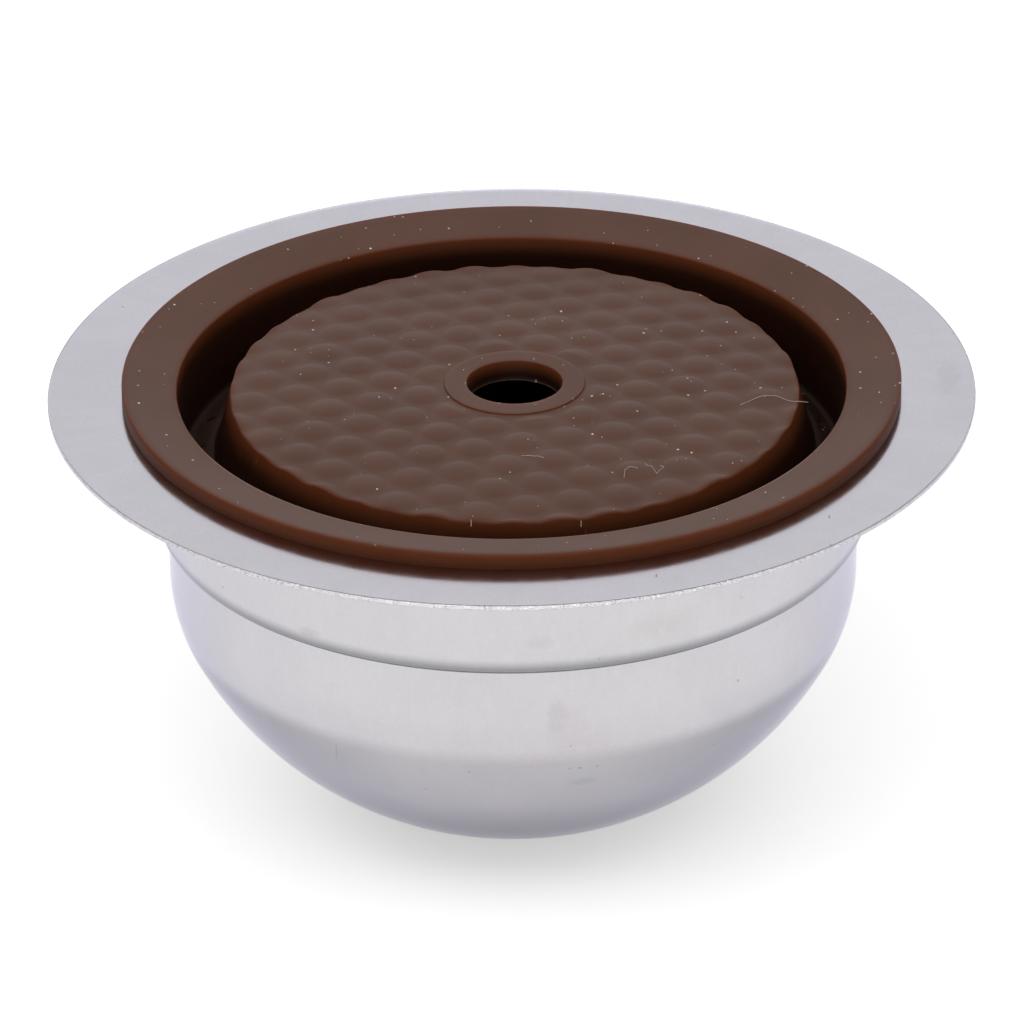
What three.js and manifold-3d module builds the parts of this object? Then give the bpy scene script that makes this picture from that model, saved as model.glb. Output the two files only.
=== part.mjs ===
// A refillable coffee pod: a drawn steel capsule with a wide flange, and a moulded silicone lid
// that is pushed into its mouth and lies on the flange. Millimetres, +Z up. The origin is the
// middle of the capsule's flat foot.
import * as THREE from "three";
import * as BufferGeometryUtils from "three/addons/utils/BufferGeometryUtils.js";
import Module from "manifold-3d";

const wasm = await Module();
wasm.setup();

// Capsule, drawn from one steel sheet
const SHEET = 0.3;
const CAPSULE_HEIGHT = 29.25;
const FLANGE_WIDTH = 6.8;
const WALL_RADIUS = 22.45;
const STEP_OUT = 0.75;
const STEP_DEPTH = 8.8;
const STEP_TURN = THREE.MathUtils.degToRad(80);
const STEP_FOOT_ROUND = 0.15;
const MOUTH_ROUND = 0.8;
const SHOULDER_RADIUS = 10;
const DOME_SPREAD = 1.55;
const FOOT_RADIUS = 5.5;
const FOOT_ROUND = 6;

// Lid, moulded in one piece
const PLUG_CLEARANCE = 0.3;
const RIM_OVERLAP = 2;
const RIM_HEIGHT = 1;
const RIM_FALL = 0.68;
const RIM_OUTER_ROUND = 0.15;
const RIM_INNER_ROUND = 0.15;
const PLUG_WALL = 1.05;
const PLUG_LEAD_IN = 0.4;
const GROOVE_DEPTH = 4.3;
const GROOVE_FALL = 0.8;
const GROOVE_WIDTH = 2.15;
const GROOVE_LEAN = 0.1;
const GROOVE_FLOOR = 1;
const GROOVE_CORNER = 0.25;
const PLATEAU_LEAN = 0.95;
const PLATEAU_WALL = 1.2;
const PLATEAU_DROP = 0.27;
const PLATEAU_SWELL = 0.5;
const UNDERSIDE_ROUND = 0.6;
const COLLAR_RADIUS = 4.55;
const COLLAR_RISE = 0.13;
const COLLAR_THICKNESS = 1.3;
const COLLAR_ROUND = 0.08;
const NEEDLE_HOLE_RADIUS = 3.1;
const NEEDLE_HOLE_TAPER = 0.1;

// Bumps on the plateau, on a lattice of equal triangles
const BUMP_PITCH = 3.1;
const BUMP_HEIGHT = 0.2;
const BUMP_REACH = 1.7;
const BUMP_TURN = THREE.MathUtils.degToRad(13.3);

// Outlet holes through the groove's floor
const OUTLET_COUNT = 30;
const OUTLET_DIAMETER = 0.4;
const OUTLET_TURN = THREE.MathUtils.degToRad(10);

// Facets of each turned piece, and of each bend in a section
const TURN_STEPS = 60;
const COLLAR_STEPS = 30;
const OUTLET_STEPS = 6;
const DOME_STEPS = 5;
const SHOULDER_STEPS = 3;
const BEND_STEPS = 2;
const EDGE_STEPS = 1;

// How far each cutting solid stands past the faces that it cuts
const CUT_MARGIN = 1;

// Sizes that follow from these
const FLANGE_TOP = CAPSULE_HEIGHT;
const BAND_RADIUS = WALL_RADIUS + STEP_OUT;
const FLANGE_RADIUS = BAND_RADIUS + FLANGE_WIDTH;
const DOME_RADIUS = WALL_RADIUS + DOME_SPREAD;
const PLUG_RADIUS = BAND_RADIUS - SHEET - PLUG_CLEARANCE;
const GROOVE_RADIUS = PLUG_RADIUS - PLUG_WALL;
const PLATEAU_FOOT_RADIUS = GROOVE_RADIUS - GROOVE_WIDTH;
const PLATEAU_RADIUS = PLATEAU_FOOT_RADIUS - PLATEAU_LEAN;
const GROOVE_FLOOR_TOP = FLANGE_TOP - GROOVE_DEPTH;
const RIM_RADIUS = BAND_RADIUS + RIM_OVERLAP;
const PLATEAU_EDGE = FLANGE_TOP - PLATEAU_DROP;
const COLLAR_TOP = plateauHeight(COLLAR_RADIUS) + COLLAR_RISE;
const PLATE_UNDERSIDE = COLLAR_TOP - COLLAR_THICKNESS;

const QUARTER = Math.PI / 2;

// Points on an arc in the half plane (radius, height), from one angle to another, in radians.
function arc(centreX, centreY, radius, from, to, steps) {
  const points = [];
  for (let i = 0; i <= steps; i += 1) {
    const angle = from + ((to - from) * i) / steps;
    points.push(new THREE.Vector2(centreX + radius * Math.cos(angle), centreY + radius * Math.sin(angle)));
  }
  return points;
}

function point(x, y) {
  return new THREE.Vector2(x, y);
}

// Height of the plateau between its bumps: it swells from its edge to the middle.
function plateauHeight(radius) {
  return PLATEAU_EDGE + PLATEAU_SWELL * (1 - (radius / PLATEAU_RADIUS) ** 2);
}

// Turns a closed outline, or one that starts and ends on the axis, about +Z.
function revolve(outline, steps) {
  const geometry = new THREE.LatheGeometry(outline, steps);
  geometry.rotateX(QUARTER);
  return geometry;
}

function toSolid(geometry) {
  const bare = geometry.index ? geometry.toNonIndexed() : geometry.clone();
  bare.deleteAttribute("normal");
  bare.deleteAttribute("uv");
  const merged = BufferGeometryUtils.mergeVertices(bare, 1e-5);
  const index = merged.index.array;
  const corners = [];
  for (let i = 0; i < index.length; i += 3) {
    const [a, b, c] = [index[i], index[i + 1], index[i + 2]];
    if (a !== b && b !== c && c !== a) corners.push(a, b, c);
  }
  const vertProperties = new Float32Array(merged.attributes.position.array);
  const triVerts = new Uint32Array(corners);
  return new wasm.Manifold(new wasm.Mesh({ numProp: 3, vertProperties, triVerts }));
}

function toGeometry(solid) {
  const mesh = solid.getMesh();
  const geometry = new THREE.BufferGeometry();
  geometry.setAttribute("position", new THREE.BufferAttribute(mesh.vertProperties, 3));
  geometry.setIndex(new THREE.BufferAttribute(mesh.triVerts, 1));
  geometry.computeVertexNormals();
  return geometry;
}

// The line of the drawn sheet, from the foot's middle out to the flange's edge, at a depth inside
// the outer face. Each bend keeps its centre, so the sheet has one thickness all the way.
function sheetLine(depth) {
  const footCentre = FOOT_ROUND;
  const domeCentre = footCentre + Math.sqrt((DOME_RADIUS - FOOT_ROUND) ** 2 - FOOT_RADIUS ** 2);
  const shoulderX = WALL_RADIUS - SHOULDER_RADIUS;
  const shoulderDrop = Math.sqrt((DOME_RADIUS - SHOULDER_RADIUS) ** 2 - shoulderX ** 2);
  const shoulderCentre = domeCentre - shoulderDrop;
  const footAngle = Math.atan2(footCentre - domeCentre, FOOT_RADIUS);
  const shoulderAngle = Math.atan2(-shoulderDrop, shoulderX);
  const stepBend = STEP_OUT / (1 - Math.cos(STEP_TURN)) - STEP_FOOT_ROUND;
  const stepFootX = WALL_RADIUS + STEP_FOOT_ROUND;
  const stepBottom = FLANGE_TOP - STEP_DEPTH;
  const stepTop = stepBottom + (stepBend + STEP_FOOT_ROUND) * Math.sin(STEP_TURN);
  const mouthX = BAND_RADIUS + MOUTH_ROUND;
  const mouthY = FLANGE_TOP - SHEET - MOUTH_ROUND;
  return [
    point(0, depth),
    ...arc(FOOT_RADIUS, footCentre, FOOT_ROUND - depth, -QUARTER, footAngle, BEND_STEPS),
    ...arc(0, domeCentre, DOME_RADIUS - depth, footAngle, shoulderAngle, DOME_STEPS).slice(1),
    ...arc(shoulderX, shoulderCentre, SHOULDER_RADIUS - depth, shoulderAngle, 0, SHOULDER_STEPS).slice(1),
    ...arc(stepFootX, stepBottom, STEP_FOOT_ROUND + depth, Math.PI, Math.PI - STEP_TURN, BEND_STEPS),
    ...arc(BAND_RADIUS - stepBend, stepTop, stepBend - depth, -STEP_TURN, 0, BEND_STEPS).slice(1),
    ...arc(mouthX, mouthY, MOUTH_ROUND + depth, Math.PI, QUARTER, BEND_STEPS),
    point(FLANGE_RADIUS, FLANGE_TOP - SHEET + depth),
  ];
}

// The flange's top has a line where the lid's rim ends, so the ring outside it is a face of its own.
function capsuleBody() {
  const inside = sheetLine(SHEET).reverse();
  const rimLine = point(RIM_RADIUS, FLANGE_TOP);
  return revolve([...sheetLine(0), inside[0], rimLine, ...inside.slice(1)], TURN_STEPS);
}

// The lid's section without its bumps, collar and holes: the plateau's block stands tall enough
// for the bumps to be cut into it.
function lidBlank() {
  const rimTop = FLANGE_TOP + RIM_HEIGHT;
  const blockTop = COLLAR_TOP + CUT_MARGIN;
  const lean = PLATEAU_LEAN / (PLATEAU_EDGE - GROOVE_FLOOR_TOP);
  const blockRadius = PLATEAU_RADIUS - lean * (blockTop - PLATEAU_EDGE);
  const mouthX = GROOVE_RADIUS + GROOVE_LEAN + RIM_INNER_ROUND;
  const mouthY = rimTop - RIM_FALL - RIM_INNER_ROUND;
  const grooveLow = GROOVE_FLOOR_TOP - GROOVE_FALL;
  const plugFoot = grooveLow - GROOVE_FLOOR;
  const innerTop = PLATEAU_RADIUS - PLATEAU_WALL;
  const innerFoot = PLATEAU_FOOT_RADIUS - PLATEAU_WALL;
  return revolve([
    point(0, PLATE_UNDERSIDE),
    ...arc(innerTop - UNDERSIDE_ROUND, PLATE_UNDERSIDE - UNDERSIDE_ROUND, UNDERSIDE_ROUND, QUARTER, 0, BEND_STEPS),
    point(innerFoot, plugFoot),
    point(PLUG_RADIUS - PLUG_LEAD_IN, plugFoot),
    point(PLUG_RADIUS, plugFoot + PLUG_LEAD_IN),
    point(PLUG_RADIUS, FLANGE_TOP),
    point(RIM_RADIUS, FLANGE_TOP),
    ...arc(RIM_RADIUS - RIM_OUTER_ROUND, rimTop - RIM_OUTER_ROUND, RIM_OUTER_ROUND, 0, QUARTER, EDGE_STEPS),
    ...arc(mouthX, mouthY, RIM_INNER_ROUND, QUARTER, Math.PI, EDGE_STEPS),
    point(GROOVE_RADIUS, grooveLow + GROOVE_CORNER),
    point(GROOVE_RADIUS - GROOVE_CORNER, grooveLow),
    point(PLATEAU_FOOT_RADIUS + GROOVE_CORNER, GROOVE_FLOOR_TOP),
    point(PLATEAU_FOOT_RADIUS - lean * GROOVE_CORNER, GROOVE_FLOOR_TOP + GROOVE_CORNER),
    point(blockRadius, blockTop),
    point(0, blockTop),
  ], TURN_STEPS);
}

// Rise of a bump over the plateau at a distance from its crown: a soft round hump.
function bumpRise(distance) {
  return BUMP_HEIGHT * Math.max(0, 1 - (distance / BUMP_REACH) ** 2) ** 2;
}

// The crowns' places, row by row, out to just past the plateau's edge.
function bumpCentres() {
  const rowGap = (BUMP_PITCH * Math.sqrt(3)) / 2;
  const reach = PLATEAU_RADIUS + BUMP_PITCH;
  const count = Math.ceil(reach / rowGap);
  const centres = [];
  for (let row = -count; row <= count; row += 1) {
    const shift = (Math.abs(row) % 2) * 0.5;
    for (let column = -count - 1; column <= count + 1; column += 1) {
      const place = point((column + shift) * BUMP_PITCH, row * rowGap);
      if (place.length() < reach) centres.push(place.rotateAround(point(0, 0), BUMP_TURN));
    }
  }
  return centres;
}

// Triangles of one bump's six-sided cell, as points of the half plane above the plateau.
function bumpCell(centre) {
  const cornerReach = BUMP_PITCH / Math.sqrt(3);
  const spot = (angle, distance) => {
    const place = point(centre.x + distance * Math.cos(angle), centre.y + distance * Math.sin(angle));
    return new THREE.Vector3(place.x, place.y, plateauHeight(place.length()) + bumpRise(distance));
  };
  const middle = spot(0, 0);
  const triangles = [];
  for (let side = 0; side < 6; side += 1) {
    const here = BUMP_TURN + Math.PI / 6 + (side * Math.PI) / 3;
    const next = here + Math.PI / 3;
    const ringHere = spot(here, cornerReach / 2);
    const ringNext = spot(next, cornerReach / 2);
    const edge = spot((here + next) / 2, BUMP_PITCH / 2);
    triangles.push([middle, ringHere, ringNext]);
    triangles.push([ringHere, spot(here, cornerReach), edge]);
    triangles.push([ringHere, edge, ringNext]);
    triangles.push([ringNext, edge, spot(next, cornerReach)]);
  }
  return triangles;
}

// The space above the bumps, as a closed solid: its underside has the bumps' form.
function spaceAboveBumps() {
  const top = COLLAR_TOP + 3 * CUT_MARGIN;
  const positions = [];
  const push = (...corners) => corners.forEach((corner) => positions.push(corner.x, corner.y, corner.z));
  const raise = (corner) => new THREE.Vector3(corner.x, corner.y, top);
  const key = (corner) => `${corner.x.toFixed(4)},${corner.y.toFixed(4)}`;
  const open = new Map();
  for (const [a, b, c] of bumpCentres().flatMap(bumpCell)) {
    push(a, c, b);
    push(raise(a), raise(b), raise(c));
    for (const [from, to] of [[a, b], [b, c], [c, a]]) {
      const back = `${key(to)} ${key(from)}`;
      if (open.has(back)) open.delete(back);
      else open.set(`${key(from)} ${key(to)}`, [from, to]);
    }
  }
  for (const [from, to] of open.values()) {
    push(from, to, raise(to));
    push(from, raise(to), raise(from));
  }
  const geometry = new THREE.BufferGeometry();
  geometry.setAttribute("position", new THREE.Float32BufferAttribute(positions, 3));
  return geometry;
}

function collar() {
  const foot = (PLATE_UNDERSIDE + PLATEAU_EDGE) / 2;
  return revolve([
    point(0, foot),
    point(COLLAR_RADIUS, foot),
    ...arc(COLLAR_RADIUS - COLLAR_ROUND, COLLAR_TOP - COLLAR_ROUND, COLLAR_ROUND, 0, QUARTER, EDGE_STEPS),
    point(0, COLLAR_TOP),
  ], COLLAR_STEPS);
}

// The needle's hole narrows a little towards the capsule.
function needleHole() {
  const slope = NEEDLE_HOLE_TAPER / COLLAR_THICKNESS;
  const lowRadius = NEEDLE_HOLE_RADIUS - NEEDLE_HOLE_TAPER - slope * CUT_MARGIN;
  const highRadius = NEEDLE_HOLE_RADIUS + slope * CUT_MARGIN;
  return revolve([
    point(0, PLATE_UNDERSIDE - CUT_MARGIN),
    point(lowRadius, PLATE_UNDERSIDE - CUT_MARGIN),
    point(highRadius, COLLAR_TOP + CUT_MARGIN),
    point(0, COLLAR_TOP + CUT_MARGIN),
  ], COLLAR_STEPS);
}

function outletHole(number) {
  const length = GROOVE_FLOOR + GROOVE_FALL + 2 * CUT_MARGIN;
  const angle = OUTLET_TURN + (number * 2 * Math.PI) / OUTLET_COUNT;
  const reach = (GROOVE_RADIUS + PLATEAU_FOOT_RADIUS) / 2;
  const radius = OUTLET_DIAMETER / 2;
  const geometry = new THREE.CylinderGeometry(radius, radius, length, OUTLET_STEPS);
  geometry.rotateX(QUARTER);
  const middle = GROOVE_FLOOR_TOP - (GROOVE_FLOOR + GROOVE_FALL) / 2;
  geometry.translate(reach * Math.cos(angle), reach * Math.sin(angle), middle);
  return geometry;
}

// A round column that stands over the plateau and ends half way across the groove.
function overPlateau() {
  const reach = (PLATEAU_FOOT_RADIUS + GROOVE_RADIUS) / 2;
  return revolve([
    point(0, PLATE_UNDERSIDE),
    point(reach, PLATE_UNDERSIDE),
    point(reach, COLLAR_TOP + 2 * CUT_MARGIN),
    point(0, COLLAR_TOP + 2 * CUT_MARGIN),
  ], TURN_STEPS);
}

function siliconeLid() {
  const cut = toSolid(spaceAboveBumps()).intersect(toSolid(overPlateau()));
  let solid = toSolid(lidBlank()).subtract(cut);
  solid = solid.add(toSolid(collar())).subtract(toSolid(needleHole()));
  for (let number = 0; number < OUTLET_COUNT; number += 1) {
    solid = solid.subtract(toSolid(outletHole(number)));
  }
  return toGeometry(solid);
}

const steel = new THREE.MeshStandardMaterial({ color: 0xc9c7cb, metalness: 1, roughness: 0.35 });
const silicone = new THREE.MeshStandardMaterial({ color: 0x5f4b3f, metalness: 0, roughness: 0.7 });

function named(name, geometry, material) {
  const mesh = new THREE.Mesh(geometry, material);
  mesh.name = name;
  return mesh;
}

const pod = new THREE.Group();
pod.add(named("capsule_body", capsuleBody(), steel));
pod.add(named("silicone_lid", siliconeLid(), silicone));

export default pod;
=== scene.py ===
"""Looks of the refillable coffee pod: a satin steel capsule and its brown silicone lid.

Everything is in metres in the row's frame: +Z up, the foot's middle at the origin.
"""
import math

import bmesh
import bpy
import numpy as np
from mathutils import Matrix, Vector


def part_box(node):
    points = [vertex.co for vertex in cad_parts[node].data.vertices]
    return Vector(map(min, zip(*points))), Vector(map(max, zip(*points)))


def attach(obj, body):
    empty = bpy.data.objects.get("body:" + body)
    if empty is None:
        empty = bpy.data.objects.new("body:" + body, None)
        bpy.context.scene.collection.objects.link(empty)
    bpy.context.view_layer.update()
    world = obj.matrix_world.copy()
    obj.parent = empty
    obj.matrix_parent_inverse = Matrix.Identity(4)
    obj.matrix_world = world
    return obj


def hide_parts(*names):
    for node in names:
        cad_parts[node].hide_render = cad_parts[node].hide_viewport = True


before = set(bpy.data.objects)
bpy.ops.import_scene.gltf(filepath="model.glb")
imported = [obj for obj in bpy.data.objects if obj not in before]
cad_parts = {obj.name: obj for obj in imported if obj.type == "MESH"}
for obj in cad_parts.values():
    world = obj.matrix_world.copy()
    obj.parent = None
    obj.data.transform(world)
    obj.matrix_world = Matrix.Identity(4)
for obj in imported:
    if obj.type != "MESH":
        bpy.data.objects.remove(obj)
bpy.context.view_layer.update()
MM = 0.001

# Places taken from the frame
CAPSULE_LOW, CAPSULE_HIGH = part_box("capsule_body")
LID_LOW, LID_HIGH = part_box("silicone_lid")
FLANGE_TOP = CAPSULE_HIGH.z
FLANGE_RADIUS = CAPSULE_HIGH.x
RIM_TOP = LID_HIGH.z
RIM_RADIUS = LID_HIGH.x
PLUG_FOOT = LID_LOW.z

# Capsule section
SHEET = 0.3 * MM
BAND_RADIUS = FLANGE_RADIUS - 6.8 * MM
STEP_OUT = 0.75 * MM
WALL_RADIUS = BAND_RADIUS - STEP_OUT
STEP_BOTTOM = FLANGE_TOP - 8.9 * MM
STEP_TURN = math.radians(80)
STEP_FOOT_ROUND = 0.15 * MM
MOUTH_ROUND = 0.8 * MM
SHOULDER_RADIUS = 10 * MM
DOME_RADIUS = WALL_RADIUS + 1.55 * MM
FOOT_RADIUS = 5.5 * MM
FOOT_ROUND = 6 * MM
EDGE_ROUND = 0.06 * MM

# Lid section
RIM_FALL = 0.68 * MM
RIM_OUTER_ROUND = 0.15 * MM
RIM_INNER_ROUND = 0.15 * MM
PLUG_RADIUS = BAND_RADIUS - SHEET - 0.3 * MM
PLUG_LEAD_IN = 0.4 * MM
GROOVE_RADIUS = PLUG_RADIUS - 1.05 * MM
GROOVE_MOUTH_RADIUS = GROOVE_RADIUS + 0.1 * MM
GROOVE_FLOOR = FLANGE_TOP - 4.3 * MM
GROOVE_LOW = GROOVE_FLOOR - 0.8 * MM
GROOVE_CORNER = 0.3 * MM
PLATEAU_FOOT_RADIUS = GROOVE_RADIUS - 2.15 * MM
PLATEAU_RADIUS = PLATEAU_FOOT_RADIUS - 0.95 * MM
PLATEAU_WALL = 1.2 * MM
PLATEAU_EDGE = FLANGE_TOP - 0.27 * MM
PLATEAU_EDGE_ROUND = 0.2 * MM
PLATEAU_SWELL = 0.5 * MM
PLATEAU_SHIFT = 0.2 * MM
UNDERSIDE_ROUND = 0.6 * MM
COLLAR_RADIUS = 4.55 * MM
COLLAR_ROUND = 0.06 * MM
COLLAR_RISE = 0.13 * MM
COLLAR_CLEAR = 1.0 * MM
HOLE_RADIUS = 3.1 * MM
HOLE_TAPER = 0.1 * MM
HOLE_EDGE = 0.08 * MM
HOLE_LIP = 0.05 * MM
HOLE_LIP_HEIGHT = 0.04 * MM
BUMP_HEIGHT = 0.2 * MM
BUMP_REACH = 1.3 * MM
BUMP_BLEND = 0.012 * MM
BUMP_PITCH = 3.09 * MM
BUMP_TURN = math.radians(13.4)
COLLAR_TOP = (PLATEAU_EDGE + PLATEAU_SWELL * (1 - (COLLAR_RADIUS / PLATEAU_RADIUS) ** 2)
              + COLLAR_RISE)
PLATE_UNDERSIDE = COLLAR_TOP - 1.4 * MM
OUTLET_COUNT = 30
OUTLET_RADIUS = 0.2 * MM
OUTLET_TURN = math.radians(10)
OUTLET_SIDES = 16

CAPSULE_SEGMENTS = 320
LID_SEGMENTS = 500
PLATEAU_RINGS = 96
PLATEAU_SIDE_RINGS = 10
BUMP_FADE_POWER = 4


# Outlines

def arc(x, z, radius, start, end, steps):
    """Points on an arc in the half plane (radius, height), angles in radians."""
    angles = np.linspace(start, end, steps + 1)
    return [(x + radius * math.cos(a), z + radius * math.sin(a)) for a in angles]


def line(start, end, steps):
    """Points along a straight stretch, without its first point."""
    return [tuple(np.array(start) + (np.array(end) - np.array(start)) * k / steps)
            for k in range(1, steps + 1)]


def sheet_line(depth):
    """The drawn sheet's line from the foot's middle to the flange, at a depth inside the outer face."""
    dome = FOOT_ROUND + math.sqrt((DOME_RADIUS - FOOT_ROUND) ** 2 - FOOT_RADIUS ** 2)
    shoulder_x = WALL_RADIUS - SHOULDER_RADIUS
    drop = math.sqrt((DOME_RADIUS - SHOULDER_RADIUS) ** 2 - shoulder_x ** 2)
    foot_angle = math.atan2(FOOT_ROUND - dome, FOOT_RADIUS)
    shoulder_angle = math.atan2(-drop, shoulder_x)
    bend = STEP_OUT / (1 - math.cos(STEP_TURN)) - STEP_FOOT_ROUND
    step_top = STEP_BOTTOM + (bend + STEP_FOOT_ROUND) * math.sin(STEP_TURN)
    mouth_x = BAND_RADIUS + MOUTH_ROUND
    mouth_z = FLANGE_TOP - SHEET - MOUTH_ROUND
    points = [(0.0, depth)]
    points += line((0.0, depth), (FOOT_RADIUS, depth), 4)[:-1]
    points += arc(FOOT_RADIUS, FOOT_ROUND, FOOT_ROUND - depth, -math.pi / 2, foot_angle, 8)
    points += arc(0, dome, DOME_RADIUS - depth, foot_angle, shoulder_angle, 26)[1:]
    points += arc(shoulder_x, dome - drop, SHOULDER_RADIUS - depth, shoulder_angle, 0, 14)[1:]
    wall_end = (WALL_RADIUS - depth, STEP_BOTTOM)
    points += line(points[-1], wall_end, 4)[:-1]
    points += arc(WALL_RADIUS + STEP_FOOT_ROUND, STEP_BOTTOM, STEP_FOOT_ROUND + depth,
                  math.pi, math.pi - STEP_TURN, 6)
    points += arc(BAND_RADIUS - bend, step_top, bend - depth, -STEP_TURN, 0, 10)[1:]
    band_end = (BAND_RADIUS - depth, mouth_z)
    points += line(points[-1], band_end, 6)[:-1]
    points += arc(mouth_x, mouth_z, MOUTH_ROUND + depth, math.pi, math.pi / 2, 8)
    edge_z = FLANGE_TOP - SHEET + depth
    points += line(points[-1], (FLANGE_RADIUS - EDGE_ROUND, edge_z), 8)
    return points


def capsule_outline():
    low = FLANGE_TOP - SHEET + EDGE_ROUND
    high = FLANGE_TOP - EDGE_ROUND
    edge_x = FLANGE_RADIUS - EDGE_ROUND
    edge = arc(edge_x, low, EDGE_ROUND, -math.pi / 2, 0, 3)[1:]
    edge += arc(edge_x, high, EDGE_ROUND, 0, math.pi / 2, 3)[:-1]
    return sheet_line(0) + edge + sheet_line(SHEET)[::-1]


def lid_outline():
    """The lid's closed section: each point with the share of the bumps' height that it takes."""
    inner_top = PLATEAU_RADIUS - PLATEAU_WALL
    inner_foot = PLATEAU_FOOT_RADIUS - PLATEAU_WALL
    low_radius = HOLE_RADIUS - HOLE_TAPER
    plain = [(low_radius, PLATE_UNDERSIDE + 2 * HOLE_LIP_HEIGHT),
             (low_radius - HOLE_LIP * 0.5, PLATE_UNDERSIDE + 1.5 * HOLE_LIP_HEIGHT),
             (low_radius - HOLE_LIP, PLATE_UNDERSIDE + HOLE_LIP_HEIGHT),
             (low_radius - HOLE_LIP, PLATE_UNDERSIDE + 0.3 * HOLE_LIP_HEIGHT),
             (low_radius - HOLE_LIP * 0.7, PLATE_UNDERSIDE)]
    plain += line(plain[-1], (inner_top - UNDERSIDE_ROUND, PLATE_UNDERSIDE), 6)
    plain += arc(inner_top - UNDERSIDE_ROUND, PLATE_UNDERSIDE - UNDERSIDE_ROUND, UNDERSIDE_ROUND,
                 math.pi / 2, 0, 5)[1:]
    plain += line(plain[-1], (inner_foot, PLUG_FOOT), 4)
    plain += line(plain[-1], (PLUG_RADIUS - PLUG_LEAD_IN, PLUG_FOOT), 3)
    plain += arc(PLUG_RADIUS - PLUG_LEAD_IN, PLUG_FOOT + PLUG_LEAD_IN, PLUG_LEAD_IN,
                 -math.pi / 2, 0, 4)[1:]
    plain += line(plain[-1], (PLUG_RADIUS, FLANGE_TOP), 4)
    plain += line(plain[-1], (RIM_RADIUS, FLANGE_TOP), 3)
    plain += arc(RIM_RADIUS - RIM_OUTER_ROUND, RIM_TOP - RIM_OUTER_ROUND, RIM_OUTER_ROUND,
                 0, math.pi / 2, 4)
    mouth = (GROOVE_MOUTH_RADIUS + RIM_INNER_ROUND, RIM_TOP - RIM_FALL)
    plain += line(plain[-1], mouth, 6)
    plain += arc(mouth[0], mouth[1] - RIM_INNER_ROUND, RIM_INNER_ROUND, math.pi / 2, math.pi, 5)[1:]
    plain += line(plain[-1], (GROOVE_RADIUS, GROOVE_LOW + GROOVE_CORNER), 6)
    plain += arc(GROOVE_RADIUS - GROOVE_CORNER, GROOVE_LOW + GROOVE_CORNER, GROOVE_CORNER,
                 0, -math.pi / 2, 4)[1:]
    plain += line(plain[-1], (PLATEAU_FOOT_RADIUS + GROOVE_CORNER, GROOVE_FLOOR), 4)
    plain += arc(PLATEAU_FOOT_RADIUS + GROOVE_CORNER, GROOVE_FLOOR + GROOVE_CORNER, GROOVE_CORNER,
                 -math.pi / 2, -math.pi, 4)[1:]
    outline = [(x, z, 0.0) for x, z in plain]
    start = outline[-1]
    side_top = PLATEAU_EDGE - PLATEAU_EDGE_ROUND
    for k in range(1, PLATEAU_SIDE_RINGS + 1):
        share = k / PLATEAU_SIDE_RINGS
        x = start[0] + (PLATEAU_RADIUS - start[0]) * share
        outline.append((x, start[1] + (side_top - start[1]) * share, share ** BUMP_FADE_POWER))
    for x, z in arc(PLATEAU_RADIUS - PLATEAU_EDGE_ROUND, side_top, PLATEAU_EDGE_ROUND,
                    0, math.pi / 2, 5)[1:]:
        outline.append((x, z, 1.0))
    outer = PLATEAU_RADIUS - PLATEAU_EDGE_ROUND
    for k in range(1, PLATEAU_RINGS + 1):
        x = outer + (COLLAR_RADIUS - outer) * k / PLATEAU_RINGS
        outline.append((x, plateau_height(x), 1.0))
    collar = line((COLLAR_RADIUS, plateau_height(COLLAR_RADIUS)),
                  (COLLAR_RADIUS, COLLAR_TOP - COLLAR_ROUND), 2)
    collar += arc(COLLAR_RADIUS - COLLAR_ROUND, COLLAR_TOP - COLLAR_ROUND, COLLAR_ROUND,
                  0, math.pi / 2, 3)[1:]
    collar += line(collar[-1], (HOLE_RADIUS + HOLE_EDGE, COLLAR_TOP), 4)
    collar += arc(HOLE_RADIUS + HOLE_EDGE, COLLAR_TOP - HOLE_EDGE, HOLE_EDGE,
                  math.pi / 2, math.pi, 3)[1:]
    collar += line(collar[-1], plain[0], 4)[:-1]
    outline += [(x, z, 0.0) for x, z in collar]
    return outline


def plateau_height(radius):
    """The plateau swells from its edge to the middle."""
    edge = PLATEAU_RADIUS - PLATEAU_EDGE_ROUND
    return PLATEAU_EDGE + PLATEAU_SWELL * (1 - (radius / edge) ** 2)


def bump_rise(x, y):
    """Rise of the bumps: round caps that blend into the plateau, on a lattice of equal triangles."""
    turn = -BUMP_TURN
    u = x * math.cos(turn) - y * math.sin(turn)
    v = x * math.sin(turn) + y * math.cos(turn)
    row_gap = BUMP_PITCH * math.sqrt(3) / 2
    nearest = np.full_like(u, np.inf)
    for shift in (0, 1):
        row = np.round((v / row_gap - shift) / 2) * 2 + shift
        column = np.round(u / BUMP_PITCH - shift / 2) + shift / 2
        distance = (u - column * BUMP_PITCH) ** 2 + (v - row * row_gap) ** 2
        nearest = np.minimum(nearest, distance)
    cap = BUMP_HEIGHT * (1 - nearest / BUMP_REACH ** 2)
    beside_collar = np.clip((np.hypot(x, y) - COLLAR_RADIUS) / COLLAR_CLEAR, 0, 1)
    return BUMP_BLEND * np.logaddexp(0, cap / BUMP_BLEND) * beside_collar


def plateau_shift(radius):
    """The plateau lies a little off the lid's axis, and the groove takes up the difference."""
    share = (GROOVE_RADIUS - radius) / (GROOVE_RADIUS - PLATEAU_FOOT_RADIUS)
    return PLATEAU_SHIFT * min(1.0, max(0.0, share))


# Meshes

def mesh_object(name, vertices, faces):
    mesh = bpy.data.meshes.new(name)
    mesh.from_pydata([tuple(v) for v in vertices], [], faces)
    mesh.update()
    made = bpy.data.objects.new(name, mesh)
    bpy.context.scene.collection.objects.link(made)
    for polygon in mesh.polygons:
        polygon.use_smooth = True
    return made


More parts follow.
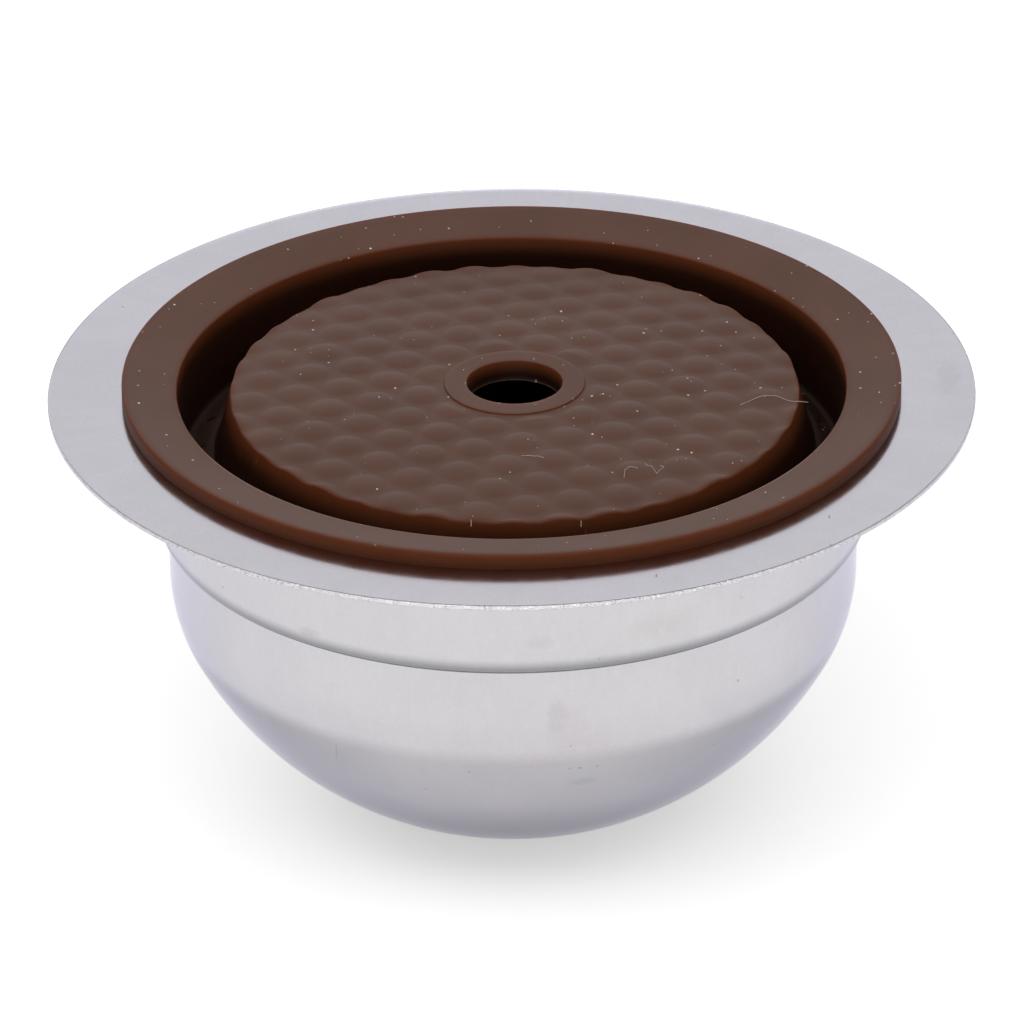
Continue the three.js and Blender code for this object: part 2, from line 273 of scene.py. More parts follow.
def turned(name, outline, segments, closed, lift=None, shift=None):
    """A solid of revolution. closed: the outline is a loop; otherwise it starts and ends on the axis."""
    angles = np.linspace(0, 2 * math.pi, segments, endpoint=False)
    cos, sin = np.cos(angles), np.sin(angles)
    ring_points = outline if closed else outline[1:-1]
    vertices = []
    for entry in ring_points:
        x, y = entry[0] * cos, entry[0] * sin
        z = np.full(segments, entry[1])
        if lift is not None:
            z = z + entry[2] * lift(x, y)
        if shift is not None:
            x = x + shift(entry[0])
        vertices += list(zip(x, y, z))
    rings = len(ring_points)
    faces = []
    last = rings if closed else rings - 1
    for ring in range(last):
        a, b = ring * segments, ((ring + 1) % rings) * segments
        for k in range(segments):
            n = (k + 1) % segments
            faces.append((a + k, a + n, b + n, b + k))
    if not closed:
        first, second = len(vertices), len(vertices) + 1
        vertices += [(0, 0, outline[0][1]), (0, 0, outline[-1][1])]
        top = (rings - 1) * segments
        for k in range(segments):
            n = (k + 1) % segments
            faces.append((first, n, k))
            faces.append((second, top + k, top + n))
    return mesh_object(name, vertices, faces)


def outward(piece):
    """Turns every face of a closed mesh outwards."""
    work = bmesh.new()
    work.from_mesh(piece.data)
    if work.calc_volume(signed=True) < 0:
        bmesh.ops.reverse_faces(work, faces=work.faces)
    work.to_mesh(piece.data)
    work.free()


def outlet_cutter():
    """All the outlets' round holes as one mesh."""
    reach = (GROOVE_RADIUS + PLATEAU_FOOT_RADIUS) / 2
    low, high, sides = PLUG_FOOT - MM, GROOVE_FLOOR + MM, OUTLET_SIDES
    vertices, faces = [], []
    for number in range(OUTLET_COUNT):
        around = OUTLET_TURN + 2 * math.pi * number / OUTLET_COUNT
        middle = (reach * math.cos(around), reach * math.sin(around))
        base = len(vertices)
        for z in (low, high):
            for k in range(sides):
                a = 2 * math.pi * k / sides
                vertices.append((middle[0] + OUTLET_RADIUS * math.cos(a),
                                 middle[1] + OUTLET_RADIUS * math.sin(a), z))
        for k in range(sides):
            n = (k + 1) % sides
            faces.append((base + k, base + n, base + sides + n, base + sides + k))
        faces.append(tuple(base + k for k in reversed(range(sides))))
        faces.append(tuple(base + sides + k for k in range(sides)))
    return mesh_object("outlet_cutter", vertices, faces)


def cut_outlets(lid):
    cutter = outlet_cutter()
    cut = lid.modifiers.new("outlets", "BOOLEAN")
    cut.operation = "DIFFERENCE"
    cut.solver = "MANIFOLD"
    cut.object = cutter
    graph = bpy.context.evaluated_depsgraph_get()
    mesh = bpy.data.meshes.new_from_object(lid.evaluated_get(graph))
    lid.modifiers.remove(cut)
    old = lid.data
    lid.data = mesh
    bpy.data.meshes.remove(old)
    bpy.data.objects.remove(cutter)


# Lint on the plateau: the fibres' points in millimetres, before the plateau's shift

LINT = (
    ((14.50, -2.83, 29.24), (15.17, -2.23, 29.21), (15.96, -1.82, 29.18), (16.86, -1.69, 29.14),
     (17.50, -1.92, 29.10), (18.20, -2.22, 29.07), (18.91, -2.30, 29.03)),
    ((0.36, -10.05, 29.41), (0.93, -9.99, 29.41), (1.44, -10.20, 29.40), (1.82, -10.59, 29.39)),
    ((6.86, -12.91, 29.25), (6.93, -12.13, 29.27), (7.26, -11.74, 29.28), (7.76, -11.99, 29.26)),
    ((8.22, -11.20, 29.28), (8.45, -11.55, 29.26), (8.60, -11.35, 29.26), (8.80, -11.90, 29.24),
     (8.95, -12.30, 29.22), (9.10, -11.90, 29.23), (9.42, -11.43, 29.24), (9.20, -11.25, 29.25)),
    ((-2.82, -18.20, 29.06), (-2.80, -18.62, 29.05), (-2.82, -19.05, 29.02)),
    ((4.07, -18.43, 29.04), (4.08, -18.80, 29.03), (4.06, -19.16, 29.00)),
)
LINT_RADIUS = 0.02 * MM
LINT_SIDES = 6
LINT_PARTS = 4


def add_lint(lid):
    """Thin tubes laid over the bumps along the fibres' points, in the lid's mesh as its second material."""
    vertices, faces = [], []
    for fibre in LINT:
        points = []
        for k in range((len(fibre) - 1) * LINT_PARTS + 1):
            first, share = divmod(k / LINT_PARTS, 1)
            start = Vector(fibre[int(first)])
            end = Vector(fibre[min(int(first) + 1, len(fibre) - 1)])
            point = start.lerp(end, share) * MM
            radius = math.hypot(point.x, point.y)
            if radius < PLATEAU_RADIUS - PLATEAU_EDGE_ROUND:
                rise = float(bump_rise(np.array([point.x]), np.array([point.y]))[0])
                point.z = plateau_height(radius) + rise
            points.append(point + Vector((PLATEAU_SHIFT, 0, LINT_RADIUS)))
        for k, point in enumerate(points):
            along = (points[min(k + 1, len(points) - 1)] - points[max(k - 1, 0)]).normalized()
            side = along.cross(Vector((0, 0, 1))).normalized()
            over = side.cross(along)
            base = len(vertices)
            for s in range(LINT_SIDES):
                a = 2 * math.pi * s / LINT_SIDES
                vertices.append(point + (side * math.cos(a) + over * math.sin(a)) * LINT_RADIUS)
            if k:
                for s in range(LINT_SIDES):
                    m = (s + 1) % LINT_SIDES
                    faces.append((base - LINT_SIDES + s, base - LINT_SIDES + m, base + m, base + s))
            if k in (0, len(points) - 1):
                ring = [base + s for s in range(LINT_SIDES)]
                faces.append(tuple(ring[::-1] if k == 0 else ring))
    lint = mesh_object("lint", vertices, faces)
    lid.data.materials.append(lint_material())
    work = bmesh.new()
    work.from_mesh(lid.data)
    first = len(work.faces)
    work.from_mesh(lint.data)
    work.faces.ensure_lookup_table()
    for face in work.faces[first:]:
        face.material_index = 1
    work.to_mesh(lid.data)
    work.free()
    old = lint.data
    bpy.data.objects.remove(lint)
    bpy.data.meshes.remove(old)


# Materials

WHITE = (1.0, 1.0, 1.0)


class Nodes:
    """A short way to write a material's node tree."""

    def __init__(self, name):
        self.material = bpy.data.materials.new(name)
        self.material.use_nodes = True
        self.tree = self.material.node_tree
        self.tree.nodes.clear()
        self.output = self.tree.nodes.new("ShaderNodeOutputMaterial")
        self.place = self.tree.nodes.new("ShaderNodeTexCoord").outputs["Object"]

    def add(self, kind, **settings):
        node = self.tree.nodes.new(kind)
        for key, value in settings.items():
            setattr(node, key, value)
        return node

    def link(self, value, socket):
        if isinstance(value, bpy.types.NodeSocket):
            self.tree.links.new(value, socket)
        else:
            socket.default_value = value

    def math(self, operation, a, b=0.0):
        node = self.add("ShaderNodeMath", operation=operation)
        self.link(a, node.inputs[0])
        self.link(b, node.inputs[1])
        return node.outputs[0]

    def vector(self, operation, a, b=(0, 0, 0)):
        node = self.add("ShaderNodeVectorMath", operation=operation)
        self.link(a, node.inputs[0])
        self.link(b, node.inputs["Scale"] if operation == "SCALE" else node.inputs[1])
        return node.outputs["Value"] if operation == "LENGTH" else node.outputs[0]

    def noise(self, vector, scale, detail, rough):
        node = self.add("ShaderNodeTexNoise")
        self.link(vector, node.inputs["Vector"])
        node.inputs["Scale"].default_value = scale
        node.inputs["Detail"].default_value = detail
        node.inputs["Roughness"].default_value = rough
        return node.outputs["Fac"]

    def multiply(self, a, b):
        node = self.add("ShaderNodeMix", data_type="RGBA", blend_type="MULTIPLY")
        self.link(1.0, node.inputs["Factor"])
        self.link(a, node.inputs[6])
        self.link(b, node.inputs[7])
        return node.outputs[2]

    def cells(self, vector, scale, flat=False):
        node = self.add("ShaderNodeTexVoronoi", voronoi_dimensions="2D" if flat else "3D")
        self.link(vector, node.inputs["Vector"])
        node.inputs["Scale"].default_value = scale
        return node

    def ramp(self, value, low, high, start=0.0, end=1.0):
        """Eases from start at low to end at high."""
        node = self.add("ShaderNodeMapRange", interpolation_type="SMOOTHSTEP")
        self.link(value, node.inputs["Value"])
        for key, number in (("From Min", low), ("From Max", high), ("To Min", start), ("To Max", end)):
            node.inputs[key].default_value = number
        return node.outputs["Result"]

    def mix(self, factor, a, b):
        node = self.add("ShaderNodeMix", data_type="RGBA")
        self.link(factor, node.inputs["Factor"])
        for value, socket in ((a, node.inputs[6]), (b, node.inputs[7])):
            self.link((*value, 1.0) if isinstance(value, tuple) else value, socket)
        return node.outputs[2]

    def bump(self, height, strength, distance, under=None):
        node = self.add("ShaderNodeBump")
        node.inputs["Strength"].default_value = strength
        node.inputs["Distance"].default_value = distance
        self.link(height, node.inputs["Height"])
        if under is not None:
            self.link(under, node.inputs["Normal"])
        return node.outputs["Normal"]

    def split(self, vector):
        node = self.add("ShaderNodeSeparateXYZ")
        self.link(vector, node.inputs[0])
        return node.outputs

    def join(self, x, y, z):
        node = self.add("ShaderNodeCombineXYZ")
        for value, socket in zip((x, y, z), node.inputs):
            self.link(value, socket)
        return node.outputs[0]

    def surface(self, **inputs):
        shader = self.add("ShaderNodeBsdfPrincipled")
        for key, value in inputs.items():
            self.link(value, shader.inputs[key.replace("_", " ")])
        self.tree.links.new(shader.outputs[0], self.output.inputs["Surface"])


# Steel: places, widths and heights are in millimetres

STEEL_DARK = (0.600, 0.588, 0.609)
STEEL_LIGHT = (0.624, 0.612, 0.633)
STEEL_EDGE_TINT = (0.84, 0.83, 0.94)
STEEL_ROUGHNESS = (0.14, 0.18)
STREAK_SCALE, STREAK_STRETCH = 30.0, 0.012
STREAK_SHARE, MOTTLE_SHARE = 0.3, 0.7
MOTTLE_SCALE, CLOUD_SCALE, GRAIN_SCALE = 0.22, 1.1, 7.0
GRAIN_DARK = (0.98, 0.98, 0.98)
GRAIN_LIGHT = (1.015, 1.015, 1.015)
GRAIN_STRENGTH, GRAIN_DEPTH = 0.25, 0.01 * MM

# Smudges, dots, ticks and one patch of painted shade: place, half size, and how much colour each takes away
SMUDGES_AND_PAINTED_SHADE = (
    ((3.4, -22.1, 16.0), (1.5, 3.0, 2.6), (0.02, 0.055, 0.05)),
    ((5.2, -21.6, 15.2), (1.3, 3.0, 1.4), (0.00, 0.04, 0.035)),
    ((1.6, -21.9, 14.0), (1.4, 3.0, 1.2), (0.00, 0.035, 0.04)),
    ((2.6, -22.4, 17.2), (0.8, 3.0, 1.4), (0.06, 0.06, 0.065)),
    ((1.6, -23.1, 22.9), (1.0, 3.0, 0.5), (0.05, 0.06, 0.07)),
    ((9.0, -21.3, 23.2), (2.6, 3.0, 1.0), (0.03, 0.04, 0.07)),
    ((3.45, -21.3, 12.95), (0.13, 3.0, 0.10), (0.22, 0.22, 0.22)),
    ((4.10, -21.2, 12.90), (0.16, 3.0, 0.12), (0.28, 0.28, 0.28)),
    ((5.20, -21.0, 12.90), (0.11, 3.0, 0.10), (0.22, 0.22, 0.22)),
    ((-2.9, -21.4, 12.75), (0.14, 3.0, 0.16), (0.14, 0.14, 0.14)),
    ((4.3, -20.6, 11.5), (1.10, 3.0, 0.42), (0.09, 0.085, 0.085)),
    # Painted shade, not a smudge: a darker patch on the band just above the step's edge
    ((-12.9, -19.3, 21.75), (0.8, 3.0, 0.4), (0.10, 0.10, 0.10)),
    ((28.3, 0.8, 29.25), (1.0, 3.0, 3.0), (0.06, 0.06, 0.06)),
    ((19.81, -18.59, 29.25), (0.09, 0.30, 3.0), (0.45, 0.45, 0.45)),
    ((8.83, -26.19, 29.25), (0.08, 0.30, 3.0), (0.40, 0.40, 0.40)),
    ((19.76, -22.37, 29.25), (0.10, 0.20, 3.0), (0.30, 0.30, 0.30)),
)
SMUDGE_AND_SHADE_RAGGED = 1.6
SMUDGE_AND_SHADE_EASE = (0.35, 1.15)
SCRATCH_PLACE = (-11.37, -18.1, 12.5)
SCRATCH_SIZE = (0.06, 2.5, 1.4)
SCRATCH_EASE = (0.4, 1.0)
SCRATCH_COLOUR = (0.84, 0.83, 0.82)
SPECK_SCALE, SPECK_BAR = 0.55, 0.80
SPECK_EASE = (0.03, 0.07)
SPECK_COLOUR = (0.72, 0.70, 0.70)
DIMPLE_PLACE = (-1.26, -23.17, 23.72)
DIMPLE_REACH = 0.32
DIMPLE_STRENGTH, DIMPLE_DEPTH = 0.5, 0.06 * MM

# Painted shade by height: darker reflections over the step's edge, on the dome and its flanks, under the
# flange and at the foot
FOLD_LOW, FOLD_HIGH, FOLD_PAINTED_SHADE = 0.55, 1.45, 0.51
FOLD_EDGE = 0.05
DOME_LOW, DOME_HIGH = 13.2, 14.8
FLANK_START, FLANK_END = 6.0, 16.0
DOME_PAINTED_SHADE, FLANK_PAINTED_SHADE = 0.80, 0.68
NECK_LOW, NECK_HIGH, NECK_PAINTED_SHADE = 1.3, 0.3, 0.86
FOOT_LOW, FOOT_HIGH = 3.5, 10.0
FOOT_PAINTED_SHADE = (0.56, 0.55, 0.51)

# The flange's sheared edge
SHEARED_START, SHEARED_FULL = 0.10, 0.03
NICK_SCALE = 95.0
NICK_EASE = (0.60, 0.68)
NICK_COLOUR = (0.72, 0.70, 0.68)
BURR_SCALE, BURR_STRENGTH, BURR_DEPTH = 4.0, 0.7, 0.3 * MM


def steel_marks(n, colour, millimetres):
    """Smudges with ragged outlines, one patch of painted shade on the band, one scratch and scattered dark
    specks.
    """
    cloud = n.noise(millimetres, CLOUD_SCALE, 4.0, 0.65)
    ragged = n.math("MULTIPLY", n.math("SUBTRACT", cloud, 0.5), SMUDGE_AND_SHADE_RAGGED)
    for place, size, loss in SMUDGES_AND_PAINTED_SHADE:
        away = n.vector("DIVIDE", n.vector("SUBTRACT", millimetres, place), size)
        far = n.math("ADD", n.vector("LENGTH", away), ragged)
        left = tuple(1 - part for part in loss)
        colour = n.multiply(colour, n.mix(n.ramp(far, *SMUDGE_AND_SHADE_EASE, 1.0, 0.0), WHITE, left))
    along = n.vector("DIVIDE", n.vector("SUBTRACT", millimetres, SCRATCH_PLACE), SCRATCH_SIZE)
    scratch = n.ramp(n.vector("LENGTH", along), *SCRATCH_EASE, 1.0, 0.0)
    colour = n.multiply(colour, n.mix(scratch, WHITE, SCRATCH_COLOUR))
    specks = n.cells(millimetres, SPECK_SCALE)
    chosen = n.math("GREATER_THAN", n.split(specks.outputs["Color"])[0], SPECK_BAR)
    near = n.ramp(specks.outputs["Distance"], *SPECK_EASE, 1.0, 0.0)
    return n.multiply(colour, n.mix(n.math("MULTIPLY", chosen, near), WHITE, SPECK_COLOUR))


def steel_painted_shade(n, colour, x, z):
    """Darkens the steel where the soft light around it doesn't reach."""
    step, flange = STEP_BOTTOM / MM, FLANGE_TOP / MM
    fold = n.ramp(z, step + FOLD_LOW, step + FOLD_HIGH, FOLD_PAINTED_SHADE, 1.0)
    tone = n.math("MAXIMUM", fold, n.math("LESS_THAN", z, step + FOLD_EDGE))
    flank = n.ramp(n.math("ABSOLUTE", x), FLANK_START, FLANK_END, DOME_PAINTED_SHADE, FLANK_PAINTED_SHADE)
    above = n.ramp(z, DOME_LOW, DOME_HIGH)
    dome = n.math("ADD", flank, n.math("MULTIPLY", n.math("SUBTRACT", 1.0, flank), above))
    tone = n.math("MULTIPLY", tone, dome)
    neck = n.ramp(z, flange - NECK_LOW, flange - NECK_HIGH, NECK_PAINTED_SHADE, 1.0)
    tone = n.math("MULTIPLY", tone, neck)
    foot = n.mix(n.ramp(z, FOOT_LOW, FOOT_HIGH, 1.0, 0.0), WHITE, FOOT_PAINTED_SHADE)
    return n.multiply(n.multiply(colour, n.join(tone, tone, tone)), foot)


def steel_material():
    n = Nodes("satin_steel")
    millimetres = n.vector("SCALE", n.place, 1 / MM)
    x, y, z = n.split(millimetres)
    radius = n.vector("LENGTH", n.join(x, y, 0.0))
    around = n.vector("NORMALIZE", n.join(x, y, 0.0))
    drawn = n.vector("ADD", around, n.join(0.0, 0.0, n.math("MULTIPLY", z, STREAK_STRETCH)))
    streaks = n.noise(drawn, STREAK_SCALE, 3.0, 0.55)
    mottle = n.noise(millimetres, MOTTLE_SCALE, 4.0, 0.6)
    cloudy = n.math("ADD", n.math("MULTIPLY", streaks, STREAK_SHARE),
                    n.math("MULTIPLY", mottle, MOTTLE_SHARE))
    colour = n.mix(n.ramp(cloudy, 0.36, 0.64), STEEL_DARK, STEEL_LIGHT)
    grain = n.noise(millimetres, GRAIN_SCALE, 2.0, 0.5)
    colour = n.multiply(colour, n.mix(n.ramp(grain, 0.35, 0.65), GRAIN_DARK, GRAIN_LIGHT))
    colour = steel_marks(n, colour, millimetres)
    colour = steel_painted_shade(n, colour, x, z)
    edge = FLANGE_RADIUS / MM
    sheared = n.ramp(radius, edge - SHEARED_START, edge - SHEARED_FULL)
    nicks = n.math("MULTIPLY", sheared, n.ramp(n.noise(around, NICK_SCALE, 3.0, 0.7), *NICK_EASE))
    colour = n.multiply(colour, n.mix(nicks, WHITE, NICK_COLOUR))
    roughness = n.ramp(n.math("ADD", streaks, mottle), 0.7, 1.3, *STEEL_ROUGHNESS)
    burr = n.math("MULTIPLY", n.noise(millimetres, BURR_SCALE, 2.0, 0.6), sheared)
    from_dimple = n.vector("LENGTH", n.vector("SUBTRACT", millimetres, DIMPLE_PLACE))
    dimple = n.ramp(from_dimple, DIMPLE_REACH * 0.3, DIMPLE_REACH)
    normal = n.bump(burr, BURR_STRENGTH, BURR_DEPTH)
    normal = n.bump(dimple, DIMPLE_STRENGTH, DIMPLE_DEPTH, normal)
    normal = n.bump(grain, GRAIN_STRENGTH, GRAIN_DEPTH, normal)
    n.surface(Base_Color=colour, Metallic=1.0, Roughness=roughness, Normal=normal,
              Specular_Tint=(*STEEL_EDGE_TINT, 1.0))
    return n.material


# Silicone: places, widths and heights are in millimetres

SILICONE_SIDE = (0.090, 0.0218, 0.0058)
SILICONE_DARK = (0.099, 0.0490, 0.0330)
SILICONE_LIGHT = (0.111, 0.0560, 0.0385)
SIDE_EASE = (0.45, 0.92)
BROAD_SCALE, PATCH_SCALE = 0.16, 0.13
SKIN_SCALE, SKIN_STRENGTH, SKIN_DEPTH = 3.2, 0.10, 0.03 * MM
# How far the painted red of light shining through the thin edges reaches, and how strong it is
THIN_EDGE, THIN_EDGE_SHARE = 0.55, 0.5
# A painted highlight along the groove's front lip: its colour, where it lies, its width and how strong it
# is towards the front
LIP_PAINTED_HIGHLIGHT = (0.26, 0.22, 0.20)
LIP_OFFSET = 0.13
LIP_EASE = (0.02, 0.09)
LIP_START, LIP_END, LIP_SHARE = -6.0, -14.0, 0.5
SILICONE_SPECULAR = 0.13
SILICONE_SCATTER = 0.5
SILICONE_SCATTER_REACH = (1.2 * MM, 0.3 * MM, 0.1 * MM)
ROUGH_IN_GROOVE, ROUGH_ON_TOP = 0.62, 0.5
ROUGH_LOW, ROUGH_HIGH = 0.5, 0.6

# Shade in the groove and the needle hole, by depth under the flange's top or the collar
DEEP_TONE = 0.2
DEEP_LOW, DEEP_HIGH = 2.0, 0.35
OUTER_WALL_IN, OUTER_WALL_OUT = 0.7, 0.14
OUTER_LOW, OUTER_HIGH = 1.1, 0.4
HOLE_WALL_REACH = 0.03
HOLE_DEPTH, HOLE_SHADE = 1.1, 0.88
GROOVE_FLOOR_TONE = 0.42

# Dust: cells a millimetre, the share of them that hold a speck, and the speck's size in a cell
DUST = ((0.9, 0.055, 0.075), (0.55, 0.09, 0.055), (1.7, 0.03, 0.09))
DUST_COLOUR = (0.80, 0.73, 0.69)
DUST_SHIFT_X, DUST_SHIFT_Y = 7.0, 3.0


def silicone_colour(n, millimetres, y, up, radius, off_plateau):
    """Brown that turns redder on the sides and thin edges, with a painted highlight as a paler line on the
    groove's front lip. The redder thin edges are painted light shining through the silicone.
    """
    broad = n.noise(millimetres, BROAD_SCALE, 3.0, 0.5)
    colour = n.mix(n.ramp(broad, 0.3, 0.7), SILICONE_DARK, SILICONE_LIGHT)
    colour = n.mix(n.ramp(up, *SIDE_EASE), SILICONE_SIDE, colour)
    # Painted light: thin edges turn redder where light would shine through the thin silicone
    for from_middle, edge in ((radius, RIM_RADIUS), (radius, GROOVE_MOUTH_RADIUS),
                              (off_plateau, PLATEAU_RADIUS)):
        away = n.math("ABSOLUTE", n.math("SUBTRACT", from_middle, edge / MM))
        colour = n.mix(n.ramp(away, 0.0, THIN_EDGE, THIN_EDGE_SHARE, 0.0), colour, SILICONE_SIDE)
    # Painted highlight: a paler line along the front of the groove's mouth
    off_lip = n.math("ABSOLUTE", n.math("SUBTRACT", radius, GROOVE_MOUTH_RADIUS / MM + LIP_OFFSET))
    lip = n.math("MULTIPLY", n.ramp(off_lip, *LIP_EASE, 1.0, 0.0), n.ramp(up, 0.4, 0.7))
    lip = n.math("MULTIPLY", lip, n.ramp(y, LIP_START, LIP_END, 0.0, LIP_SHARE))
    return n.mix(lip, colour, LIP_PAINTED_HIGHLIGHT)


def silicone_shade(n, z, up, radius, off_plateau):
    """How much of the colour is left in the groove and on the needle hole's wall."""
    flange = FLANGE_TOP / MM
    deep = n.ramp(z, flange - DEEP_LOW, flange - DEEP_HIGH, DEEP_TONE, 1.0)
    outer_wall = n.math("MULTIPLY",
                        n.math("GREATER_THAN", radius, GROOVE_RADIUS / MM - OUTER_WALL_IN),
                        n.math("LESS_THAN", radius, GROOVE_MOUTH_RADIUS / MM + OUTER_WALL_OUT))
    shaded = n.ramp(z, flange - OUTER_LOW, flange + OUTER_HIGH, DEEP_TONE, 1.0)
    shaded = n.math("MAXIMUM", shaded, n.math("SUBTRACT", 1.0, outer_wall))
    deep = n.math("MINIMUM", deep, shaded)
    in_hole = n.math("LESS_THAN", off_plateau, HOLE_RADIUS / MM + HOLE_WALL_REACH)
    wall = n.math("MULTIPLY", in_hole, n.math("LESS_THAN", up, 0.5))
    low = n.ramp(z, COLLAR_TOP / MM - HOLE_DEPTH, COLLAR_TOP / MM, HOLE_SHADE, 0.0)
    deep = n.math("MULTIPLY", deep, n.math("SUBTRACT", 1.0, n.math("MULTIPLY", wall, low)))
    return n.math("MAXIMUM", deep, n.ramp(up, 0.8, 0.95, 0.0, GROOVE_FLOOR_TONE))


def dust_cover(n, x, y, up):
    """Pale specks of three sizes on what faces up, denser in patches."""
    flat = n.join(x, y, 0.0)
    patches = n.noise(flat, PATCH_SCALE, 2.0, 0.5)
    dust = 0.0
    for scale, share, size in DUST:
        shifted = n.vector("ADD", flat, (scale * DUST_SHIFT_X, scale * DUST_SHIFT_Y, 0.0))
        specks = n.cells(shifted, scale, flat=True)
        picked, strength = n.split(specks.outputs["Color"])[:2]
        bar = n.ramp(patches, 0.35, 0.65, 1.0 - share * 0.4, 1.0 - share * 1.6)
        chosen = n.math("GREATER_THAN", picked, bar)
        near = n.ramp(specks.outputs["Distance"], size * 0.5, size, 1.0, 0.0)
        spread = n.math("MULTIPLY", n.math("MULTIPLY", chosen, near), strength)
        dust = n.math("MAXIMUM", spread, dust)
    return n.math("MULTIPLY", dust, n.ramp(up, 0.2, 0.6))


def silicone_material():
    n = Nodes("brown_silicone")
    millimetres = n.vector("SCALE", n.place, 1 / MM)
    x, y, z = n.split(millimetres)
    up = n.split(n.add("ShaderNodeNewGeometry").outputs["Normal"])[2]
    radius = n.vector("LENGTH", n.join(x, y, 0.0))
    off_plateau = n.vector("LENGTH", n.join(n.math("SUBTRACT", x, PLATEAU_SHIFT / MM), y, 0.0))
    colour = silicone_colour(n, millimetres, y, up, radius, off_plateau)
    shade = silicone_shade(n, z, up, radius, off_plateau)
    colour = n.multiply(colour, n.join(shade, shade, shade))
    colour = n.mix(dust_cover(n, x, y, up), colour, DUST_COLOUR)
    normal = n.bump(n.noise(millimetres, SKIN_SCALE, 3.0, 0.6), SKIN_STRENGTH, SKIN_DEPTH)
    rough = n.ramp(z, GROOVE_FLOOR / MM + ROUGH_LOW, FLANGE_TOP / MM - ROUGH_HIGH,
                   ROUGH_IN_GROOVE, ROUGH_ON_TOP)
    n.surface(Base_Color=colour, Roughness=rough, Normal=normal,
              Specular_IOR_Level=SILICONE_SPECULAR, Subsurface_Weight=SILICONE_SCATTER,
              Subsurface_Radius=SILICONE_SCATTER_REACH, Subsurface_Scale=1.0)
    return n.material


# Lint

LINT_DARK = (0.26, 0.21, 0.18)
LINT_LIGHT = (0.50, 0.44, 0.40)
LINT_ROUGHNESS = 0.8


def lint_material():
    n = Nodes("pale_lint")
    tint = n.noise(n.place, 4 / MM, 2.0, 0.5)
    n.surface(Base_Color=n.mix(tint, LINT_DARK, LINT_LIGHT), Roughness=LINT_ROUGHNESS)
    return n.material


# Studio

FLOOR_REACH = 3.0
FLOOR_COLOUR = (0.9, 0.9, 0.9)
FLOOR_GLOW = 0.40
WORLD_LEVEL = 0.40
BACK_TINT = (0.97, 0.96, 1.0)

# Each soft light: name, place, size, power in watts and tint
SOFTBOXES = (
    ("key_softbox", (-0.05, -0.30, 0.55), (0.9, 0.35), 1.6, WHITE),
    ("left_softbox", (-0.6, -0.05, 0.4), (0.7, 0.6), 0.7, WHITE),
    ("right_softbox", (0.6, -0.05, 0.4), (0.7, 0.6), 0.6, WHITE),
    ("fill_softbox", (0.0, -0.5, 0.13), (0.5, 0.12), 0.7, WHITE),
    ("back_softbox", (0.0, 0.8, 0.62), (1.1, 1.2), 2.1, BACK_TINT),
    ("low_softbox", (0.0, 0.8, 0.12), (1.1, 0.2), 0.42, BACK_TINT),
)


def floor_material():
    """Matt and pale, with a glow that only the camera, reflections and transmission see."""
    n = Nodes("pale_floor")
    matt = n.add("ShaderNodeBsdfDiffuse")
    matt.inputs["Color"].default_value = (*FLOOR_COLOUR, 1.0)
    glow = n.add("ShaderNodeEmission")
    glow.inputs["Color"].default_value = (*WHITE, 1.0)
    path = n.add("ShaderNodeLightPath").outputs
    seen = n.math("MAXIMUM", path["Is Camera Ray"], n.math("MAXIMUM", path["Is Glossy Ray"],
                                                           path["Is Transmission Ray"]))
    n.link(n.math("MULTIPLY", seen, FLOOR_GLOW), glow.inputs["Strength"])
    both = n.add("ShaderNodeAddShader")
    n.link(matt.outputs[0], both.inputs[0])
    n.link(glow.outputs[0], both.inputs[1])
    n.link(both.outputs[0], n.output.inputs["Surface"])
    return n.material


def white_world():
    """White to the camera and through transmission, and a plain pale grey to everything else."""
    world = bpy.data.worlds.new("studio")
    bpy.context.scene.world = world
    world.use_nodes = True
    nodes, links = world.node_tree.nodes, world.node_tree.links
    background = nodes["Background"]
    path = nodes.new("ShaderNodeLightPath").outputs
    seen = nodes.new("ShaderNodeMath")
    seen.operation = "MAXIMUM"
    links.new(path["Is Camera Ray"], seen.inputs[0])
    links.new(path["Is Transmission Ray"], seen.inputs[1])
    level = nodes.new("ShaderNodeMapRange")
    links.new(seen.outputs[0], level.inputs["Value"])
    level.inputs["To Min"].default_value = WORLD_LEVEL
    level.inputs["To Max"].default_value = 1.0
    links.new(level.outputs["Result"], background.inputs["Strength"])
    background.inputs["Color"].default_value = (*WHITE, 1.0)


def softbox(name, place, size, power, tint):
    light = bpy.data.lights.new(name, "AREA")
    light.color = tint
    light.shape = "RECTANGLE"
    light.size, light.size_y = size
    light.energy = power
    lamp = bpy.data.objects.new(name, light)
    lamp.location = place
    aim = Vector((0, 0, FLANGE_TOP)) - Vector(place)
    lamp.rotation_euler = aim.to_track_quat("-Z", "Y").to_euler()
    bpy.context.scene.collection.objects.link(lamp)


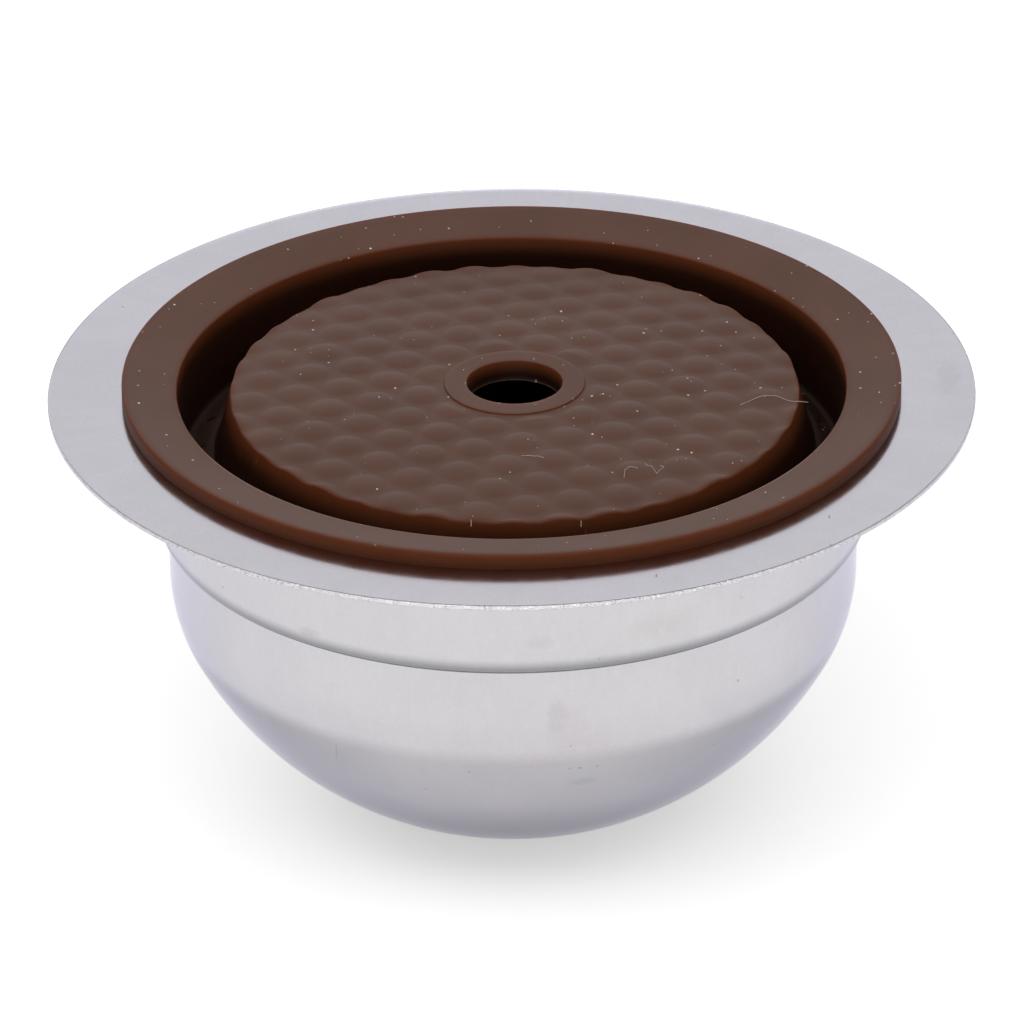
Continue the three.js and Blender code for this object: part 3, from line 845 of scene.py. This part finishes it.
def studio():
    corners = [(-FLOOR_REACH, -FLOOR_REACH, 0), (FLOOR_REACH, -FLOOR_REACH, 0),
               (FLOOR_REACH, FLOOR_REACH, 0), (-FLOOR_REACH, FLOOR_REACH, 0)]
    floor = mesh_object("studio_floor", corners, [(0, 1, 2, 3)])
    floor.data.materials.append(floor_material())
    white_world()
    for box in SOFTBOXES:
        softbox(*box)


# Camera, fitted to a picture 1024 px square

IMAGE_PX = 1024
ELEVATION = math.radians(26.71)
DISTANCE = 0.5
FOCAL_PX = 7724.5
AIM_X_PX, AIM_Y_PX = 511.5, 386.3
ROLL = math.radians(0.56)
SENSOR_MM = 36.0
NEAR_CLIP = 0.01


def camera():
    data = bpy.data.cameras.new("camera")
    data.sensor_width = SENSOR_MM
    data.lens = FOCAL_PX * SENSOR_MM / IMAGE_PX
    data.clip_start = NEAR_CLIP
    back = Vector((0, -math.cos(ELEVATION), math.sin(ELEVATION)))
    right = Vector((1, 0, 0))
    up = back.cross(right)
    place = Vector((0, 0, FLANGE_TOP)) + back * DISTANCE
    right, up = (right * math.cos(ROLL) - up * math.sin(ROLL),
                 up * math.cos(ROLL) + right * math.sin(ROLL))
    to_middle_x = (IMAGE_PX / 2 - AIM_X_PX) / FOCAL_PX
    to_middle_y = -(IMAGE_PX / 2 - AIM_Y_PX) / FOCAL_PX
    forward = (-back + right * to_middle_x + up * to_middle_y).normalized()
    back = -forward
    right = (right - back * right.dot(back)).normalized()
    up = back.cross(right)
    turn = Matrix((right, up, back)).transposed()
    made = bpy.data.objects.new("camera", data)
    made.matrix_world = Matrix.Translation(place) @ turn.to_4x4()
    bpy.context.scene.collection.objects.link(made)
    bpy.context.scene.camera = made


def dress(piece, node, material):
    piece.data.materials.clear()
    piece.data.materials.append(material)
    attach(piece, "root")
    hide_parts(node)


camera()
studio()
capsule = turned("steel_capsule", capsule_outline(), CAPSULE_SEGMENTS, closed=False)
outward(capsule)
dress(capsule, "capsule_body", steel_material())
lid = turned("silicone_lid_fine", lid_outline(), LID_SEGMENTS, closed=True,
             lift=bump_rise, shift=plateau_shift)
outward(lid)
cut_outlets(lid)
dress(lid, "silicone_lid", silicone_material())
add_lint(lid)
bpy.context.scene.view_settings.view_transform = "Standard"
